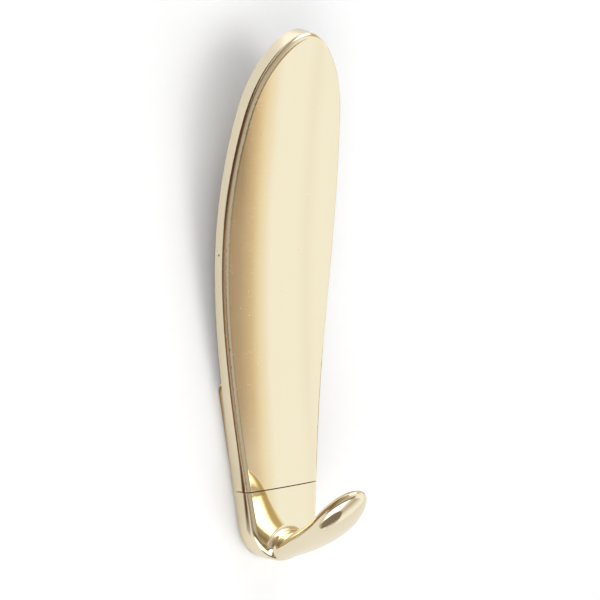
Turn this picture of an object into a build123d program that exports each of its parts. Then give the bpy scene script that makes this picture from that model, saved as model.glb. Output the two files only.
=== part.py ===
from build123d import *
import os
from math import asin, cos, degrees, radians, sin, sqrt, tan

# Wall-fixed double hook: a long leaf-shaped blade above, a short finger hook below.
# X runs along the wall, Y into it, Z up; the wall is the plane Y = 0.
# The origin is on the wall, midway between the two wall-screw holes.
os.makedirs("parts", exist_ok=True)

# Heights, all from the seam between the two castings
blade_height = 128.5
hook_height = 21.5
seam_gap = 0.3

# Leaf outline of the blade, as half widths; its crown is set out from the top
foot_half = 13.0
foot_flare = 0.112
waist_up = 33.4
waist_half = 16.95
widest_up = 71.0
widest_half = 19.62
shoulder_down = 28.1
shoulder_half = 17.36
crown_down = 8.7
crown_half = 10.97

# Thickness and bend of the blade
back_depth = 1.4
blade_thick = 6.3
bow_r = 120.0
bend_up = 9.5
bend_r = 320.0
rim_lean = 18.0
edge_r = 1.7

# Pad behind the foot of the blade
pad_up = 31.5
pad_inset = 0.25
pad_corner_r = 3.0

# Finger of the lower hook: it rises out of the plate's foot and widens into a flat oval tip
finger_rise = 41.5
finger_out = 21.8
finger_up = 13.9
root_half = 5.0
root_top = 7.4
root_bite = 1.5
root_sunk = 0.1
throat_r = 2.2
arm_out = 7.3
arm_half = 6.5
neck_out = 14.5
neck_half = 7.6
top_lead = 4.0
under_lead = 8.7
tip_half = 8.0
tip_thick = 6.5
tip_length = 13.5

# Steel wall bracket, with undercut sides
bracket_thick = 3.0
bracket_back_half = 6.5
bracket_front_half = 8.0
bracket_up = 28.0
bracket_down = 15.0
slide_gap = 0.15

# Countersunk holes for the wall screws
wall_hole_r = 2.1
wall_sink_r = 3.9
wall_hole_pitch = 16.0
wall_hole_up = 5.5

# Countersunk screws that hold the lower hook to the bracket
screw_r = 1.5
screw_head_r = 2.8
screw_reach = 3.2
screw_pitch = 6.6
screw_down = 4.2
screw_gap = 0.2
screw_sunk = 0.1
tap_spare = 0.6
key_across = 2.0
key_depth = 1.1

# Plain allowances for shapes that are cut off or sunk into one another
over = 1.0
far_depth = 60.0

seam_z = -(wall_hole_up + wall_hole_pitch / 2)
front_depth = back_depth + blade_thick


def bowed_section(back, half):
    """Level outline of the casting: a straight back and a bowed front."""
    edge = front_depth - (bow_r - sqrt(bow_r**2 - half**2))
    bow = ThreePointArc((half, -edge), (0, -front_depth), (-half, -edge))
    rest = Polyline((-half, -edge), (-half, -back), (half, -back), (half, -edge))
    return make_face([bow, rest])


def leaf(depth):
    """Outline of the blade in a plane at this depth; its crown leans with the bend."""
    top_rise = blade_height - bend_up
    top_depth = back_depth + bend_r - sqrt(bend_r**2 - top_rise**2)
    stretch = 1 + (top_depth - depth) * tan(radians(rim_lean)) / blade_height
    side = [(foot_half, 0), (waist_half, waist_up), (widest_half, widest_up)]
    side += [(shoulder_half, blade_height - shoulder_down)]
    side += [(crown_half, blade_height - crown_down)]
    right = [(x, up * stretch) for x, up in side]
    left = [(-x, up) for x, up in reversed(right)]
    start = (foot_flare, 1)
    end = (foot_flare, -1)
    rim = Spline(*right, (0, blade_height * stretch), *left, tangents=(start, end))
    base = Line(left[-1], right[0])
    plane = Plane((0, -depth, seam_z), x_dir=(1, 0, 0), z_dir=(0, -1, 0))
    return plane * make_face([rim, base])


def bracket_solid(bottom, top, gap, front_gap):
    """Plate with undercut sides, grown by the gaps where it is a pocket."""
    slope = (bracket_front_half - bracket_back_half) / bracket_thick
    deep = bracket_thick + front_gap
    back_half = bracket_back_half + gap
    front_half = back_half + slope * deep
    outline = Polyline(
        (-back_half, 0), (back_half, 0), (front_half, -deep), (-front_half, -deep), close=True
    )
    return Pos(0, 0, bottom) * extrude(make_face(outline), top - bottom)


def towards_room(x, depth, z):
    """Place a tool so that its own axis points out of the wall."""
    return Location(Plane((x, -depth, z), x_dir=(1, 0, 0), z_dir=(0, -1, 0)))


# Blade: a bowed strip that runs straight up the wall and then bends away from it
strip_half = widest_half + blade_thick
bend_turn = 1.5 * degrees(asin((blade_height - bend_up) / bend_r))
foot_face = Pos(0, 0, seam_z) * bowed_section(back_depth, strip_half)
bend_face = Pos(0, 0, seam_z + bend_up) * bowed_section(back_depth, strip_half)
bend_axis = Axis((0, -(back_depth + bend_r), seam_z + bend_up), (1, 0, 0))
strip = extrude(foot_face, bend_up) + revolve(bend_face, bend_axis, bend_turn)
blade = strip & loft([leaf(0), leaf(far_depth)], ruled=True)


def height_on_strip(point):
    """How far a point lies in front of the strip's back."""
    if point.Z < seam_z + bend_up:
        return -point.Y - back_depth
    across = point.Y - bend_axis.position.Y
    return bend_r - sqrt(across**2 + (point.Z - bend_axis.position.Z) ** 2)


front_rim = [
    e
    for e in blade.edges()
    if e.bounding_box().size.Z > over and height_on_strip(e @ 0.5) > blade_thick / 2
]
blade = fillet(front_rim, edge_r)

pad_top_half = foot_half + foot_flare * pad_up
pad_outline = Polyline(
    (pad_inset - foot_half, 0),
    (foot_half - pad_inset, 0),
    (pad_top_half - pad_inset, pad_up),
    (pad_inset - pad_top_half, pad_up),
    close=True,
)
pad_face = make_face(pad_outline)
pad_face = fillet(pad_face.vertices().group_by(Axis.Y)[-1], pad_corner_r)
pad = extrude(towards_room(0, 0, seam_z) * pad_face, back_depth + over)
blade += pad

bracket_top = seam_z + bracket_up
bracket_bottom = seam_z - bracket_down
blade -= bracket_solid(seam_z - over, bracket_top, slide_gap, slide_gap)

# Lower hook: a round-bottomed plate and a finger
hook_top = seam_z - seam_gap
hook_bottom = seam_z - hook_height
round_r = (foot_half - foot_flare * hook_height) / (sqrt(1 + foot_flare**2) - foot_flare)
round_z = hook_bottom + round_r
side_tilt = 1 / sqrt(1 + foot_flare**2)
side_x = round_r * side_tilt
side_z = round_z - round_r * side_tilt * foot_flare
top_half = foot_half - foot_flare * seam_gap
plate_outline = [
    ThreePointArc((-side_x, side_z), (0, hook_bottom), (side_x, side_z)),
    Line((side_x, side_z), (top_half, hook_top)),
    Line((top_half, hook_top), (-top_half, hook_top)),
    Line((-top_half, hook_top), (-side_x, side_z)),
]
plate_block = extrude(towards_room(0, 0, 0) * make_face(plate_outline), far_depth)
plate_face = Pos(0, 0, hook_bottom - over) * bowed_section(back_depth, strip_half)
plate = extrude(plate_face, hook_top - hook_bottom + over) & plate_block
plate_rim = [
    e
    for e in plate.edges()
    if e.bounding_box().size.Z > over and -(e @ 0.5).Y > back_depth + blade_thick / 2
]
plate = fillet(plate_rim, edge_r)
back_outline = offset(make_face(plate_outline), -pad_inset)
back_band = Pos(0, hook_top - pad_inset) * Rectangle(2 * (top_half - pad_inset), 4 * pad_inset)
back_face = back_outline + (back_band & make_face(plate_outline))
plate += extrude(towards_room(0, 0, 0) * back_face, back_depth + over)

# Finger: sections hung between a line along its top and a line along its underside.
# Both lines are drawn as depth from the wall and height.
along = Vector(cos(radians(finger_rise)), sin(radians(finger_rise)))
upward = Vector(-along.Y, along.X)
thick_spot = Vector(front_depth + finger_out, hook_bottom + finger_up)
thick_top = thick_spot + upward * tip_thick / 2
thick_under = thick_spot - upward * tip_thick / 2
corner = Vector(front_depth, hook_bottom + root_top)
foot = Vector(front_depth - root_bite, hook_bottom + root_sunk)
top_line = Bezier(corner, thick_top - along * top_lead, thick_top)
under_line = Bezier(foot, thick_under - along * under_lead, thick_under)

tip_plane = Plane(
    (0, -thick_spot.X, thick_spot.Y), x_dir=(0, -along.X, along.Y), z_dir=(1, 0, 0)
)


def finger_section(top, under, half):
    """Oval between a point on the finger's top and one on its underside."""
    middle = (top + under) / 2
    height = top - under
    plane = Plane((0, -middle.X, middle.Y), x_dir=(1, 0, 0), z_dir=(0, -height.Y, -height.X))
    return plane * Ellipse(half, height.length / 2)


inside = Vector(root_bite, 0)
arm = arm_out / finger_out
neck = neck_out / finger_out
finger = loft(
    [
        finger_section(corner - inside, foot - inside, root_half),
        finger_section(top_line @ arm, under_line @ arm, arm_half),
        finger_section(top_line @ neck, under_line @ neck, neck_half),
        finger_section(top_line @ 1, under_line @ 1, tip_half),
    ]
)
quarter = EllipticalCenterArc((0, 0), tip_length, tip_thick / 2, start_angle=0, arc_size=90)
tip_face = make_face([quarter, Polyline(quarter @ 1, (0, 0), quarter @ 0)])
tip = scale(revolve(tip_face, Axis.X, 360), by=(1, 1, 2 * tip_half / tip_thick))
finger += tip_plane * tip
lower_hook = plate + finger
lower_hook = fillet(new_edges(plate, finger, combined=lower_hook), throat_r)
lower_hook -= bracket_solid(bracket_bottom, seam_z + over, slide_gap, 0)

# Bracket: wall-screw holes sunk from the front, hook-screw holes sunk from the wall side
bracket = bracket_solid(bracket_bottom, bracket_top, 0, 0)
sink_depth = wall_sink_r - wall_hole_r
for side in (-0.5, 0.5):
    z = side * wall_hole_pitch
    bracket -= towards_room(0, bracket_thick / 2, z) * Cylinder(wall_hole_r, 2 * bracket_thick)
    sink = Cone(wall_hole_r, wall_sink_r, sink_depth)
    bracket -= towards_room(0, bracket_thick - sink_depth / 2, z) * sink

head_depth = screw_head_r - screw_r
screws = []
for step in (0, 1):
    z = seam_z - screw_down - step * screw_pitch
    head = towards_room(0, screw_sunk + head_depth / 2, z) * Cone(screw_head_r, screw_r, head_depth)
    well = towards_room(0, screw_sunk / 2, z) * Cylinder(screw_head_r, screw_sunk)
    bracket -= head
    bracket -= well
    bracket -= towards_room(0, bracket_thick / 2, z) * Cylinder(screw_r + screw_gap, 2 * bracket_thick)
    shank_end = bracket_thick + screw_reach
    shank_length = shank_end - screw_sunk - head_depth / 2
    shank = towards_room(0, shank_end - shank_length / 2, z) * Cylinder(screw_r, shank_length)
    key = extrude(RegularPolygon(key_across / 2, 6, major_radius=False), key_depth)
    screws.append(head + shank - towards_room(0, screw_sunk, z) * key)
    tap_depth = screw_reach + tap_spare
    lower_hook -= towards_room(0, bracket_thick + tap_depth / 2, z) * Cylinder(screw_r, tap_depth)

blade.label = "blade"
lower_hook.label = "lower_hook"
bracket.label = "wall_bracket"
export_step(blade, "parts/blade.step")
export_step(lower_hook, "parts/lower_hook.step")
export_step(bracket, "parts/wall_bracket.step")
export_step(Compound(label="hook_screws", children=screws), "parts/hook_screws.step")
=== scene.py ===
# %% [markdown]
# # A polished gold double hook
# The hook is two castings on a hidden steel bracket: a tall leaf-shaped blade, and under a thin level
# seam a short plate with a rising finger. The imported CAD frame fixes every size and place, so no shape
# is added here. The lesson gives the castings one clean skin and a finish, and then builds what a
# mirror finish needs most, a wall and a room to reflect. Lengths are in metres, the wall is the plane
# Y = 0, and the room lies towards -Y.

# %% load the frame
import math
import bpy
from mathutils import Matrix, Vector


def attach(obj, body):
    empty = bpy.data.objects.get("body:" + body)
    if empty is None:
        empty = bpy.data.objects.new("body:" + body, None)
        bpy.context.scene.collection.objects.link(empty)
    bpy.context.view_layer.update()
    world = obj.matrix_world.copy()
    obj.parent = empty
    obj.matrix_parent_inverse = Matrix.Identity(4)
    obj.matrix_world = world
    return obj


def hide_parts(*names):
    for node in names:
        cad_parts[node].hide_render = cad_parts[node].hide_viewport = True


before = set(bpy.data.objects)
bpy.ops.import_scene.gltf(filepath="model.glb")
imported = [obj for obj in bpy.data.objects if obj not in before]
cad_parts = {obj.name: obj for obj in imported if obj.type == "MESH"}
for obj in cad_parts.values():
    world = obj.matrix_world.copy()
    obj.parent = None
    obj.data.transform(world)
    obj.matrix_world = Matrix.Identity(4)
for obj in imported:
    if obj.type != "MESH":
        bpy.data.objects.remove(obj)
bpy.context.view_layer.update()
bpy.ops.object.select_all(action="DESELECT")
print("CAD nodes:", sorted(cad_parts))

# %% [markdown]
# ## One clean skin for each casting
# The CAD mesh is loose triangles, with a point for every corner of every patch. On dull plastic that
# would do, but a mirror finish shows each break as a step in the reflection. The castings could be
# modelled again with fewer faces, at the cost of their true shape. Instead a copy of each is merged
# into one skin and shaded smooth wherever two facets meet at less than the crease angle, so the seam
# faces and the back stay crisp. Weighted normals then let the broad faces rule over the slivers
# beside them.

# %% copy, merge and smooth the castings
MERGE_DISTANCE = 2e-6
CREASE = math.radians(24)
BROAD_FACE_WEIGHT = 90


def one_skin(node, name):
    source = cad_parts[node]
    bpy.ops.object.select_all(action="DESELECT")
    skin = bpy.data.objects.new(name, source.data.copy())
    bpy.context.collection.objects.link(skin)
    bpy.context.view_layer.objects.active = skin
    skin.select_set(True)
    bpy.ops.object.mode_set(mode="EDIT")
    bpy.ops.mesh.select_all(action="SELECT")
    bpy.ops.mesh.remove_doubles(threshold=MERGE_DISTANCE)
    bpy.ops.mesh.customdata_custom_splitnormals_clear()
    bpy.ops.object.mode_set(mode="OBJECT")
    bpy.ops.object.shade_smooth_by_angle(angle=CREASE)
    even = skin.modifiers.new("even_normals", "WEIGHTED_NORMAL")
    even.mode = "FACE_AREA"
    even.weight = BROAD_FACE_WEIGHT
    even.keep_sharp = True
    bpy.ops.object.modifier_apply(modifier=even.name)
    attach(skin, "root")
    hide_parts(node)
    return skin


blade = one_skin("blade", "polished_blade")
hook = one_skin("lower_hook", "polished_lower_hook")
print("blade faces:", len(blade.data.polygons), "hook faces:", len(hook.data.polygons))

# %% [markdown]
# ## A true front
# The front of both castings is one sweep: a shallow bow from side to side, carried straight up the
# foot and then round a large bend away from the wall. The polishing wheel leaves no ripple on it. A
# finer mesh would only make the steps in the reflection smaller. The exact slope is known from the two
# radii, so it is written into the corners that lie on the front, and the reflection runs up to the
# rounded rim without a step.

# %% exact slopes on the bowed front
BOW_RADIUS = 0.120
BEND_RADIUS = 0.320
BACK_DEPTH = 0.0014
THICKNESS = 0.0063
BEND_START = -0.004
ON_THE_FRONT = 1.5e-5
SAME_WAY = 0.8


def front_slope(point):
    if point.z < BEND_START:
        out, height = Vector((0, -1, 0)), -point.y - BACK_DEPTH
    else:
        to_axis = Vector((0, -(BACK_DEPTH + BEND_RADIUS) - point.y, BEND_START - point.z))
        out, height = to_axis.normalized(), BEND_RADIUS - to_axis.length
    lean = point.x / BOW_RADIUS
    straight = math.sqrt(1 - lean * lean)
    if abs(height - (THICKNESS - BOW_RADIUS * (1 - straight))) > ON_THE_FRONT:
        return None
    return Vector((lean, 0, 0)) + out * straight


def true_front(skin):
    mesh = skin.data
    exact = [front_slope(vertex.co) for vertex in mesh.vertices]
    slopes = [corner.vector.copy() for corner in mesh.corner_normals]
    changed = 0
    for number, corner in enumerate(mesh.loops):
        slope = exact[corner.vertex_index]
        if slope and slope.dot(slopes[number]) > SAME_WAY:
            slopes[number] = slope
            changed += 1
    mesh.normals_split_custom_set(slopes)
    return changed


print("front corners set:", true_front(blade), true_front(hook))

# %% [markdown]
# ## Writing shader maths
# A material could be drawn as boxes and wires in the node editor, or made link by link in code. A
# small wrapper round a node socket lets it be written as a sum instead: `a * 2 + b` makes the two Math
# nodes and joins them. Any other node comes from one method, which takes the node's type, its
# settings, and values or links for its sockets, by name or by number as i0, i1 and so on. A colour
# ramp's stops are such a setting.

# %% a socket that does arithmetic
def lay_stops(elements, stops):
    while len(elements) < len(stops):
        elements.new(0.5)
    for element, (position, colour) in zip(elements, stops):
        element.position = position
        element.color = (*colour, 1)


class Socket:
    def __init__(self, tree, socket=None):
        self.tree = tree
        self.socket = socket

    def node(self, kind, out=0, settings=None, **inputs):
        made = self.tree.nodes.new(kind)
        for key, value in (settings or {}).items():
            if key == "stops":
                lay_stops(made.color_ramp.elements, value)
            else:
                setattr(made, key, value)
        for key, value in inputs.items():
            numbered = key[1:].isdigit()
            target = made.inputs[int(key[1:]) if numbered else key.replace("_", " ")]
            if isinstance(value, Socket):
                self.tree.links.new(value.socket, target)
            else:
                target.default_value = value
        return Socket(self.tree, made.outputs[out])

    def maths(self, operation, other=0.0):
        return self.node("ShaderNodeMath", settings={"operation": operation}, i0=self, i1=other)

    def __add__(self, other):
        return self.maths("ADD", other)

    __radd__ = __add__

    def __sub__(self, other):
        return self.maths("SUBTRACT", other)

    def __rsub__(self, other):
        return self.node("ShaderNodeMath", settings={"operation": "SUBTRACT"}, i0=other, i1=self)

    def __mul__(self, other):
        return self.maths("MULTIPLY", other)

    __rmul__ = __mul__

    def axis(self, letter):
        return self.node("ShaderNodeSeparateXYZ", out=letter, Vector=self)

    def ramp(self, low, high):
        return self.node(
            "ShaderNodeMapRange", settings={"interpolation_type": "SMOOTHSTEP"},
            Value=self, From_Min=low, From_Max=high,
        )

    def mix(self, first, second):
        colours = [v if isinstance(v, Socket) else (*v, 1) for v in (first, second)]
        return self.node(
            "ShaderNodeMix", out=2, settings={"data_type": "RGBA"}, i0=self, i6=colours[0], i7=colours[1],
        )

    def into(self, target):
        self.tree.links.new(self.socket, target)


def new_material(name):
    material = bpy.data.materials.new(name)
    material.use_nodes = True
    tree = material.node_tree
    place = Socket(tree).node("ShaderNodeTexCoord", out="Object")
    return material, tree.nodes["Principled BSDF"], place


print("a socket now adds, multiplies, ramps and mixes")

# %% [markdown]
# ## Pale gold: the polish
# The castings are plated and buffed until they mirror the room, so nearly all of the look is
# reflection, and the metal only tints it. Roughness could be one number, but a polish that is even all
# over looks like chrome paint. Here a slow cloud makes the mirror clearer in some places than in
# others, and hair-fine streaks up the blade are the marks of the buffing wheel.

# %% how clear the polish is
CLEAREST = 0.018
CLOUDED = 0.022
WHEEL_MARKED = 0.05
gold, shader, at = new_material("polished_gold")
cloud = at.node("ShaderNodeTexNoise", Vector=at, Scale=60.0, Detail=2.0)
up_the_blade = at.node("ShaderNodeMapping", Vector=at, Scale=(1500.0, 1500.0, 30.0))
hair = at.node("ShaderNodeTexNoise", Vector=up_the_blade, Scale=1.0, Detail=3.0).ramp(0.58, 0.78)
polish = CLEAREST + cloud * CLOUDED + hair * WHEEL_MARKED
print("roughness of the clean polish:", CLEAREST, "to", CLEAREST + CLOUDED + WHEEL_MARKED)

# %% [markdown]
# ## Pale gold: dust and small marks
# A hook that has been handled carries a few pale specks, and on the left of its front a thin film of
# finer dust with short level scuffs. There is one small pit in the left side too, with no depth; its dark
# look is painted shade. Voronoi cells make round grains, and a slower noise leaves most of them out,
# because dust that is even all over looks like a pattern. Dust isn't metal, so the film takes a little
# away from Metallic.

# %% dust, scuffs and a pit
DUST_EDGE = (-0.003, -0.012)
FACES_ROOM = (-0.75, -0.90)
FINE_DUST, SCUFFED = 0.18, 0.11
PIT_PLACE = (-0.0195, -0.0084, 0.0538)
PIT_RADIUS = (0.00042, 0.00018)
facing = at.node("ShaderNodeNewGeometry", out="Normal")
rare = at.node("ShaderNodeTexNoise", Vector=at, Scale=330.0, Detail=1.0).ramp(0.62, 0.72)
speck = at.node("ShaderNodeTexVoronoi", Vector=at, Scale=900.0).ramp(0.20, 0.10) * rare
patchy = at.node("ShaderNodeTexNoise", Vector=at, Scale=150.0, Detail=2.0).ramp(0.40, 0.60)
settled = patchy * at.axis("X").ramp(*DUST_EDGE) * facing.axis("Y").ramp(*FACES_ROOM)
fine = at.node("ShaderNodeTexVoronoi", Vector=at, Scale=2000.0).ramp(0.30, 0.10) * settled
sideways = at.node("ShaderNodeMapping", Vector=at, Scale=(420.0, 420.0, 2600.0))
streak = at.node("ShaderNodeTexNoise", Vector=sideways, Scale=1.0, Detail=2.0)
scuff = streak.ramp(0.56, 0.70) * settled
film = fine * FINE_DUST + scuff * SCUFFED
from_pit = at.node(
    "ShaderNodeVectorMath", out="Value", settings={"operation": "DISTANCE"}, i0=at, i1=PIT_PLACE,
)
# the pit has no depth here; its dark spot is painted shade
pit = from_pit.ramp(*PIT_RADIUS)
print("dust on the left of the front, pit at", PIT_PLACE)

# %% [markdown]
# ## Pale gold: the back and the ends at the seam
# Only what can be seen is buffed. The back keeps the dull brown skin of the casting, and the two flat
# ends that meet at the seam are machined and left matt, in a warmer gold. They could be separate
# materials on chosen faces. Here both are masks, one on faces that look at the wall and one on level
# faces at the height of the seam, so the gold stays one material and their borders are soft. Squares
# take the place of sizes there, so that up and down count alike.

# %% the cast back and the machined ends
HALF_SEAM = 0.00015
END_REACH_SQUARED = (0.0003 ** 2, 0.0002 ** 2)
FACES_WALL = (0.55, 0.80)
LEVEL_SQUARED = (0.6, 0.9)
back = facing.axis("Y").ramp(*FACES_WALL)
seam = min(vertex.co.z for vertex in blade.data.vertices) - HALF_SEAM
off_seam = at.axis("Z") - seam
upright = facing.axis("Z")
at_seam = (off_seam * off_seam).ramp(*END_REACH_SQUARED)
ends = at_seam * (upright * upright).ramp(*LEVEL_SQUARED)
print("seam at height", round(seam, 5))

# %% [markdown]
# ## Pale gold: put together
# The masks now meet the shader. Each mark changes the colour and the roughness at once, as it does on
# metal: a speck is pale and dull, the pit is dark with painted shade, and the back is brown and dull.

# %% colour and gloss of the gold
DULL_SPECK, DULL_PIT, DULL_BACK, DULL_ENDS = 0.4, 0.3, 0.42, 0.35
GOLD, PALE_GOLD = (0.895, 0.812, 0.600), (0.910, 0.830, 0.622)
DUST, PIT_SHADE = (0.97, 0.95, 0.90), (0.16, 0.11, 0.06)
CAST_DARK, CAST_LIGHT = (0.28, 0.225, 0.145), (0.37, 0.30, 0.205)
WARM_ENDS = (0.95, 0.68, 0.32)
polish = polish + speck * DULL_SPECK + pit * DULL_PIT
(polish + back * DULL_BACK + ends * DULL_ENDS).into(shader.inputs["Roughness"])
dusty = speck.mix(cloud.mix(GOLD, PALE_GOLD), DUST)
front_and_sides = ends.mix(pit.mix(dusty, PIT_SHADE), WARM_ENDS)
back.mix(front_and_sides, cloud.mix(CAST_DARK, CAST_LIGHT)).into(shader.inputs["Base Color"])
(1 - film).into(shader.inputs["Metallic"])
for casting in (blade, hook):
    casting.data.materials.clear()
    casting.data.materials.append(gold)
print("gold on", blade.name, "and", hook.name)

# %% [markdown]
# ## Zinc-plated steel
# The bracket and its screws hide behind the castings. Their bright zinc is greyer and duller, with the
# faint patchwork of crystals that plating leaves. The CAD nodes have the right shape already, so they
# stay and only get this material.

# %% the zinc material
BRIGHT, CRYSTAL = 0.28, 0.15
ZINC_DARK, ZINC_LIGHT = (0.58, 0.59, 0.61), (0.66, 0.67, 0.68)
zinc, shader, at = new_material("zinc_steel")
spangle = at.node("ShaderNodeTexVoronoi", Vector=at, Scale=700.0)
(BRIGHT + spangle * CRYSTAL).into(shader.inputs["Roughness"])
spangle.mix(ZINC_DARK, ZINC_LIGHT).into(shader.inputs["Base Color"])
shader.inputs["Metallic"].default_value = 1.0
for node in ("wall_bracket", "hook_screws"):
    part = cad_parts[node]
    part.data.materials.clear()
    part.data.materials.append(zinc)
print("zinc on the bracket and its screws")

# %% [markdown]
# ## The wall
# The hook hangs on a white wall that takes its shadow. A plane is turned upright in edit mode, so that
# the object itself stays unturned, and it stands a hair behind the back of the bracket.

# %% the wall's plane
WALL_SIZE = 3.0
WALL_GAP = 0.0004
bpy.ops.object.select_all(action="DESELECT")
bpy.ops.mesh.primitive_plane_add(size=WALL_SIZE)
wall = bpy.context.object
wall.name = "wall"
bpy.ops.object.mode_set(mode="EDIT")
bpy.ops.transform.rotate(value=math.radians(-90), orient_axis="X", center_override=(0, 0, 0))
bpy.ops.transform.translate(value=(0, WALL_GAP, 0))
bpy.ops.object.mode_set(mode="OBJECT")
print("wall normal:", tuple(round(v, 3) for v in wall.data.polygons[0].normal))

# %% [markdown]
# ## What the polished sides mirror
# The side of the blade looks at the wall beside it, so the wall draws the line down the rounded rim:
# the mirrored white stops to the left of the hook, and beyond it the metal sees a dim brown room that is
# painted on the wall. The dim room could be a real card stood beside the hook, but that would shade the
# wall. So the wall has a second colour, a painted reflection which only reflections see. Its edge
# follows the leaning side of the blade and curls away at the crown.

# %% the edge of the mirrored white
EDGE_LEAN = 0.16
CURL_START, CURL = 0.1, 9.2
WHITE_ENDS = (-0.0188, -0.0196)
DIM_STARTS = (-0.034, -0.020)
paint, shader, at = new_material("white_wall")
across, height = at.axis("X"), at.axis("Z")
in_curl = (height - CURL_START).maths("MAXIMUM", 0.0)
beside = across + height * EDGE_LEAN - in_curl * in_curl * CURL
# painted reflection: where the dim room painted on the wall takes over from the white
far = beside.ramp(*WHITE_ENDS) * height.ramp(*DIM_STARTS)
print("mirrored white ends between", *WHITE_ENDS)

# %% [markdown]
# Beyond the edge the painted room is darkest at the edge itself, a lighter brown low down and a pale
# haze above the crown, all of it painted reflection. Each border between two colours is a soft one, given
# by where it starts and where it is complete.

# %% the painted dim room beyond the edge
BROWN_LOW, BROWN_HIGH = (0.30, 0.18, 0.11), (0.095, 0.05, 0.03)
BROWN_EDGE, HAZE = (0.10, 0.055, 0.03), (0.60, 0.55, 0.49)
LOW_TO_HIGH, OFF_THE_EDGE, INTO_HAZE = (0.025, 0.075), (-0.0215, -0.029), (0.147, 0.195)
# painted reflection: the browns and the haze of the room painted on the wall
dim = height.ramp(*LOW_TO_HIGH).mix(BROWN_LOW, BROWN_HIGH)
dim = beside.ramp(*OFF_THE_EDGE).mix(BROWN_EDGE, dim)
dim = height.ramp(*INTO_HAZE).mix(dim, HAZE)
print("dim room begins at height", DIM_STARTS[0])

# %% [markdown]
# Close by, the white carries a little painted shade of the hook, and painted amber shade in the narrow
# place where pad and wall face each other. A painted white gleam above the hook gives the crown its
# bright rim.

# %% the white wall close to the hook, with painted shade
SHADED, SHADED_LOW, SHADED_TOP = (0.74, 0.72, 0.705), (0.80, 0.78, 0.765), (0.88, 0.87, 0.86)
TO_THE_FOOT, TO_THE_TOP = (0.07, 0.0), (0.138, 0.158)
AMBER_PAINTED_SHADE, PAINTED_GLEAM = (0.42, 0.27, 0.12), (1.0, 1.0, 1.0)
PAD_SIDE, PAD_TOP, PAD_BOTTOM = (-0.0156, -0.0138), (0.021, 0.018), (-0.016, -0.013)
GLEAM_STARTS, GLEAM_ENDS, GLEAM_LEFT = (0.148, 0.154), (0.22, 0.18), (-0.030, -0.018)
# painted shade: the mirrored white is darker close to the hook
near_painted_shade = height.ramp(*TO_THE_FOOT).mix(SHADED, SHADED_LOW)
near_painted_shade = height.ramp(*TO_THE_TOP).mix(near_painted_shade, SHADED_TOP)
# painted shade: amber where the pad and the wall face each other
pad_shade_mask = beside.ramp(*PAD_SIDE) * height.ramp(*PAD_TOP) * height.ramp(*PAD_BOTTOM)
near_painted_shade = pad_shade_mask.mix(near_painted_shade, AMBER_PAINTED_SHADE)
# painted highlight: a white band on the wall above the crown, seen by reflections only
gleam = height.ramp(*GLEAM_STARTS) * height.ramp(*GLEAM_ENDS) * across.ramp(*GLEAM_LEFT)
# painted reflection: the wall's second colour, with its painted room, painted shade and painted highlight
mirrored = gleam.mix(far.mix(near_painted_shade, dim), PAINTED_GLEAM)
print("gleam above the crown from height", GLEAM_STARTS[0])

# %% [markdown]
# ## Seen from behind
# The wall is left out when it is seen from behind, so that the back of the hook can be looked at. The
# foot lies flat on the wall, though, and would mirror nothing but its own shadow. The patch of wall
# that the foot covers therefore has a painted glow, for reflections only. The patch is the foot's own
# outline: a round bottom that flares towards the top of the pad.

# %% the patch of wall behind the foot
FOOT_MIDDLE = -0.0235
FOOT_RADIUS = 0.0115
FOOT_FLARE = 0.113
FOOT_EDGE, FOOT_TOP = (0.0002, 0.0006), (0.0183, 0.0178)
over_middle = (height - FOOT_MIDDLE).maths("MAXIMUM", 0.0)
under_middle = (height - FOOT_MIDDLE).maths("MINIMUM", 0.0)
reach = (across * across + under_middle * under_middle).maths("SQRT")
inside = FOOT_RADIUS + over_middle * FOOT_FLARE - reach
glow_patch = inside.ramp(*FOOT_EDGE) * height.ramp(*FOOT_TOP)
print("glow behind a foot of radius", FOOT_RADIUS)

# %% [markdown]
# The paint is matt, with a faint grain. The Light Path node tells a reflection from a direct look, and
# Backfacing tells the room side of the wall from the other, which is see-through.

# %% the wall's paint
PLASTER, PLASTER_LIGHT = (0.92, 0.92, 0.92), (0.94, 0.94, 0.94)
NO_GLOW, GLOW = (0.0, 0.0, 0.0), (0.9, 0.9, 0.9)
glossy = at.node("ShaderNodeLightPath", out="Is Glossy Ray")
white = at.node("ShaderNodeTexNoise", Vector=at, Scale=300.0).mix(PLASTER, PLASTER_LIGHT)
# reflections see the painted reflection colour, while the camera and the lights see plain plaster
glossy.mix(white, mirrored).into(shader.inputs["Base Color"])
# painted glow: behind the foot the wall emits light that only reflections see
(glossy * glow_patch).mix(NO_GLOW, GLOW).into(shader.inputs["Emission Color"])
shader.inputs["Emission Strength"].default_value = 1.0
shader.inputs["Roughness"].default_value = 0.9
shader.inputs["Specular IOR Level"].default_value = 0.0
clear = at.node("ShaderNodeBsdfTransparent")
behind = at.node("ShaderNodeNewGeometry", out="Backfacing")
solid = Socket(at.tree, shader.outputs["BSDF"])
either = at.node("ShaderNodeMixShader", i0=behind, i1=solid, i2=clear)
either.into(at.tree.nodes["Material Output"].inputs["Surface"])
wall.data.materials.append(paint)
print("paint on", wall.name)

# %% [markdown]
# ## The room
# Polished gold shows its surroundings, so the room matters more than the lamp. The hook hangs in a
# white tent: white to the right, below and overhead. Towards the camera and to the left the tent is
# open on a brown room. Real cards and cloths could stand round the hook. The world does the same with
# a few colour strips, each one band of height, read from left to right by the compass angle in
# degrees, where 0 is straight out of the wall.

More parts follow.
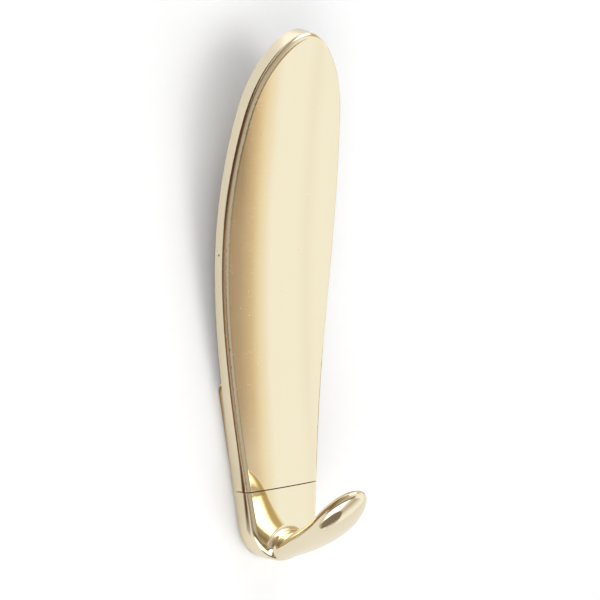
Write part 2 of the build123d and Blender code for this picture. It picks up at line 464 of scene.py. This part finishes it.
# %% directions in the room
DEGREES = 180 / math.pi
world = bpy.data.worlds.new("room")
bpy.context.scene.world = world
world.use_nodes = True
tree = world.node_tree
look = Socket(tree).node("ShaderNodeTexCoord", out="Generated")
x, y, z = (look.axis(letter) for letter in "XYZ")
turn = x.maths("ARCTAN2", 0.0 - y) * DEGREES
rise = z.maths("ARCSINE") * DEGREES
compass = (turn + 180) * (1 / 360)


def strip(stops):
    placed = [((degrees + 180) / 360, colour) for degrees, colour in stops]
    return compass.node("ShaderNodeValToRGB", settings={"stops": placed}, Fac=compass)


print("room", world.name, "read by compass angle and height")

# %% [markdown]
# The bands that the front of the blade mirrors come first. Its foot looks into the upper one, and its
# top, which bends away from the wall, into the lower one. From left to right both go from the brown
# room over a golden edge to the white of the tent, which has one faint fold in it. The golden edge
# becomes the soft border between the brown and the pale half of the blade.

# %% in front of the hook
WHITE = (1.0, 1.0, 0.99)
FOLD = (0.955, 0.945, 0.92)
low = strip([
    (-180, (0.20, 0.15, 0.11)),
    (-100, (0.22, 0.16, 0.12)),
    (-80, (0.34, 0.25, 0.19)),
    (-62, (0.47, 0.42, 0.38)),
    (-35, (0.52, 0.48, 0.44)),
    (-6, (0.50, 0.45, 0.40)),
    (6, (0.42, 0.36, 0.28)),
    (13, (0.33, 0.255, 0.175)),
    (18, (0.37, 0.285, 0.195)),
    (24, (0.50, 0.39, 0.28)),
    (28, (0.70, 0.55, 0.38)),
    (31, (0.90, 0.80, 0.62)),
    (35, WHITE),
    (45, WHITE),
    (49, FOLD),
    (53, WHITE),
])
lower = strip([
    (-180, (0.64, 0.61, 0.57)),
    (-88, (0.46, 0.41, 0.35)),
    (-66, (0.34, 0.28, 0.22)),
    (-52, (0.15, 0.115, 0.085)),
    (-6, (0.15, 0.115, 0.08)),
    (8, (0.26, 0.20, 0.135)),
    (18, (0.31, 0.24, 0.155)),
    (24, (0.43, 0.33, 0.225)),
    (28, (0.72, 0.56, 0.38)),
    (31, (0.90, 0.79, 0.60)),
    (36, WHITE),
    (45, WHITE),
    (49, FOLD),
    (53, WHITE),
])
print("two bands in front of the hook")

# %% [markdown]
# The finger, the rounded rim and the crown look up. At eye level the brown room is still open to the
# left. Overhead the tent has a broad soft patch that is brighter than white, and it gives the thin
# highlight on the crown.

# %% at eye level and above
DUSK = (0.10, 0.07, 0.05)
BRIGHT_PATCH = (2.7, 2.7, 2.68)
eye_level = strip([
    (-180, DUSK),
    (-90, DUSK),
    (-70, (0.28, 0.22, 0.17)),
    (-50, (0.50, 0.45, 0.39)),
    (-20, (0.50, 0.45, 0.38)),
    (-5, (0.70, 0.66, 0.60)),
    (8, WHITE),
])
high = strip([
    (-180, (0.25, 0.19, 0.13)),
    (-60, (0.30, 0.24, 0.18)),
    (-30, (0.55, 0.48, 0.40)),
    (0, (0.90, 0.88, 0.85)),
    (30, (0.80, 0.77, 0.72)),
    (52, (0.62, 0.49, 0.30)),
    (85, (0.54, 0.42, 0.24)),
    (105, (0.90, 0.90, 0.88)),
])
overhead = strip([
    (-180, (0.40, 0.35, 0.29)),
    (-40, (0.45, 0.40, 0.33)),
    (-5, BRIGHT_PATCH),
    (55, BRIGHT_PATCH),
    (80, (0.60, 0.54, 0.45)),
    (95, (0.95, 0.95, 0.93)),
])
print("three bands from eye level up")

# %% [markdown]
# Below the hook lies a lit white table, brightest in front and to the left. Straight down, in front of
# the wall, it is dark. The finger, its throat and the underside of the plate mirror these two.

# %% below the hook
below = strip([
    (-180, (0.86, 0.85, 0.82)),
    (-95, (0.74, 0.72, 0.68)),
    (-80, (0.75, 0.73, 0.69)),
    (-58, (1.8, 1.8, 1.8)),
    (4, (2.1, 2.1, 2.1)),
    (14, (0.80, 0.76, 0.70)),
    (24, (0.70, 0.65, 0.58)),
    (44, (0.52, 0.46, 0.38)),
    (62, (0.76, 0.73, 0.68)),
    (78, WHITE),
])
straight_down = strip([
    (-180, WHITE),
    (-120, WHITE),
    (-92, (0.60, 0.55, 0.50)),
    (-70, (0.24, 0.20, 0.17)),
    (72, (0.22, 0.18, 0.15)),
    (92, (0.92, 0.91, 0.89)),
])
print("two bands below")

# %% [markdown]
# The bands are laid over one another by height in degrees, each with a soft border. Two borders aren't
# level: the one between the two bands in front and the edge of the table both lie higher at the far
# left.

# %% one picture from all bands
TABLE_EDGE, TABLE_DROP = -22, 11
BORDER_DROP = 4.5
border = rise + BORDER_DROP * turn.ramp(-60, -35)
picture = border.ramp(-15.5, -20).mix(low, lower)
for starts, complete, band in ((-12, 0, eye_level), (10, 28, high), (40, 56, overhead)):
    picture = rise.ramp(starts, complete).mix(picture, band)
table_edge = TABLE_EDGE - TABLE_DROP * turn.ramp(-95, -72)
picture = (rise - table_edge).ramp(2, -4).mix(picture, below)
picture = rise.ramp(-65.5, -68).mix(picture, straight_down)
print("seven bands in one picture")

# %% [markdown]
# ## The light on the wall
# The shadow on the wall is wide and soft, and darkest to the left of the blade. It could come from
# several lamps, each with its own edge. A dome of light has no edges: most light comes up from the
# table on the left, some from its right, some from straight ahead, and a little from everywhere.
# Reflections see the picture, the wall gets the dome, and the camera sees plain white. As in the
# picture, every border is in degrees.

# %% dome, reflections and background
TABLE_LEFT, TABLE_RIGHT, AHEAD, EVERYWHERE = 3.0, 1.3, 3.6, 0.36
AHEAD_TURN, AHEAD_RISE = 12, -8
from_table = rise.ramp(0, -45) * (TABLE_LEFT * turn.ramp(5, -35) + TABLE_RIGHT * turn.ramp(10, 45))
aside = (turn - AHEAD_TURN).maths("ABSOLUTE")
above_or_below = (rise - AHEAD_RISE).maths("ABSOLUTE")
from_ahead = AHEAD * aside.ramp(22, 5) * above_or_below.ramp(24, 8)
light = from_table + from_ahead + EVERYWHERE
dome = look.node("ShaderNodeCombineColor", i0=light, i1=light, i2=light)
glossy = look.node("ShaderNodeLightPath", out="Is Glossy Ray")
seen_by_camera = look.node("ShaderNodeLightPath", out="Is Camera Ray")
tent = glossy.mix(dome, picture)
seen_by_camera.mix(tent, (1.0, 1.0, 1.0)).into(tree.nodes["Background"].inputs["Color"])
print("dome of light set, with", EVERYWHERE, "from everywhere")

# %% [markdown]
# ## The lamp
# One broad lamp overhead, a little to the right, adds light to the wall from above. Metal would mirror
# it as a bright box with hard edges, so reflections don't see it, and the highlight on the crown is
# left to the soft patch in the room's overhead band.

# %% the overhead lamp
LAMP_AZIMUTH, LAMP_ELEVATION = 28, 60
LAMP_DISTANCE = 1.0
LAMP_SIZE = (0.62, 0.42)
LAMP_POWER = 2.6
LAMP_TARGET = Vector((0, -0.01, 0.06))


def direction(azimuth, elevation):
    turned, raised = math.radians(azimuth), math.radians(elevation)
    level_part = math.cos(raised)
    return Vector((math.sin(turned) * level_part, -math.cos(turned) * level_part, math.sin(raised)))


lamp = bpy.data.lights.new("overhead", "AREA")
lamp.shape = "RECTANGLE"
lamp.size, lamp.size_y = LAMP_SIZE
lamp.energy = LAMP_POWER
towards_lamp = direction(LAMP_AZIMUTH, LAMP_ELEVATION)
holder = bpy.data.objects.new("overhead", lamp)
holder.location = LAMP_TARGET + towards_lamp * LAMP_DISTANCE
holder.rotation_euler = towards_lamp.to_track_quat("Z", "Y").to_euler()
holder.visible_glossy = False
bpy.context.collection.objects.link(holder)
print("lamp", holder.name, LAMP_POWER, "W")

# %% [markdown]
# ## Camera
# The photograph is taken from the left, a touch above the middle of the hook, with the camera turned
# by three degrees about its own axis. The hook stands beside the middle of the picture. Lens shift
# could move it there, but other views would keep the shift, so the camera is aimed past the hook.

# %% where the camera looks
CAMERA_AZIMUTH, CAMERA_ELEVATION = -38, 2.797
CAMERA_ROLL = math.radians(2.916)
CAMERA_DISTANCE = 0.480
CAMERA_TARGET = Vector((0, -0.010, 0.040))
FOCAL_PIXELS = 1691.6
PIXELS_RIGHT, PIXELS_UP = 19.68, 0.21
towards_camera = direction(CAMERA_AZIMUTH, CAMERA_ELEVATION)
eye = CAMERA_TARGET + towards_camera * CAMERA_DISTANCE
forward = -towards_camera
right = forward.cross(Vector((0, 0, 1))).normalized()
up = right.cross(forward)
cosine, sine = math.cos(CAMERA_ROLL), math.sin(CAMERA_ROLL)
right, up = right * cosine - up * sine, up * cosine + right * sine
forward = (forward + right * (PIXELS_RIGHT / FOCAL_PIXELS) + up * (PIXELS_UP / FOCAL_PIXELS)).normalized()
right = forward.cross(up).normalized()
up = right.cross(forward)
print("camera at", tuple(round(v, 4) for v in eye))

# %% [markdown]
# The lens follows from the focal length in pixels and the picture's width. Clipping starts close by,
# because the hook is small and the camera stands half a metre away. Standard view keeps the colours
# as they are written.

# %% the camera itself
PICTURE_WIDTH = 600
SENSOR_WIDTH = 36
lens = bpy.data.cameras.new("camera")
lens.sensor_width = SENSOR_WIDTH
lens.lens = FOCAL_PIXELS / PICTURE_WIDTH * SENSOR_WIDTH
lens.clip_start = 0.01
camera = bpy.data.objects.new("camera", lens)
turned_to = Matrix((right, up, -forward)).transposed()
camera.matrix_world = Matrix.Translation(eye) @ turned_to.to_4x4()
bpy.context.collection.objects.link(camera)
bpy.context.scene.camera = camera
bpy.context.scene.view_settings.view_transform = "Standard"
print("lens of", round(lens.lens, 1), "mm")
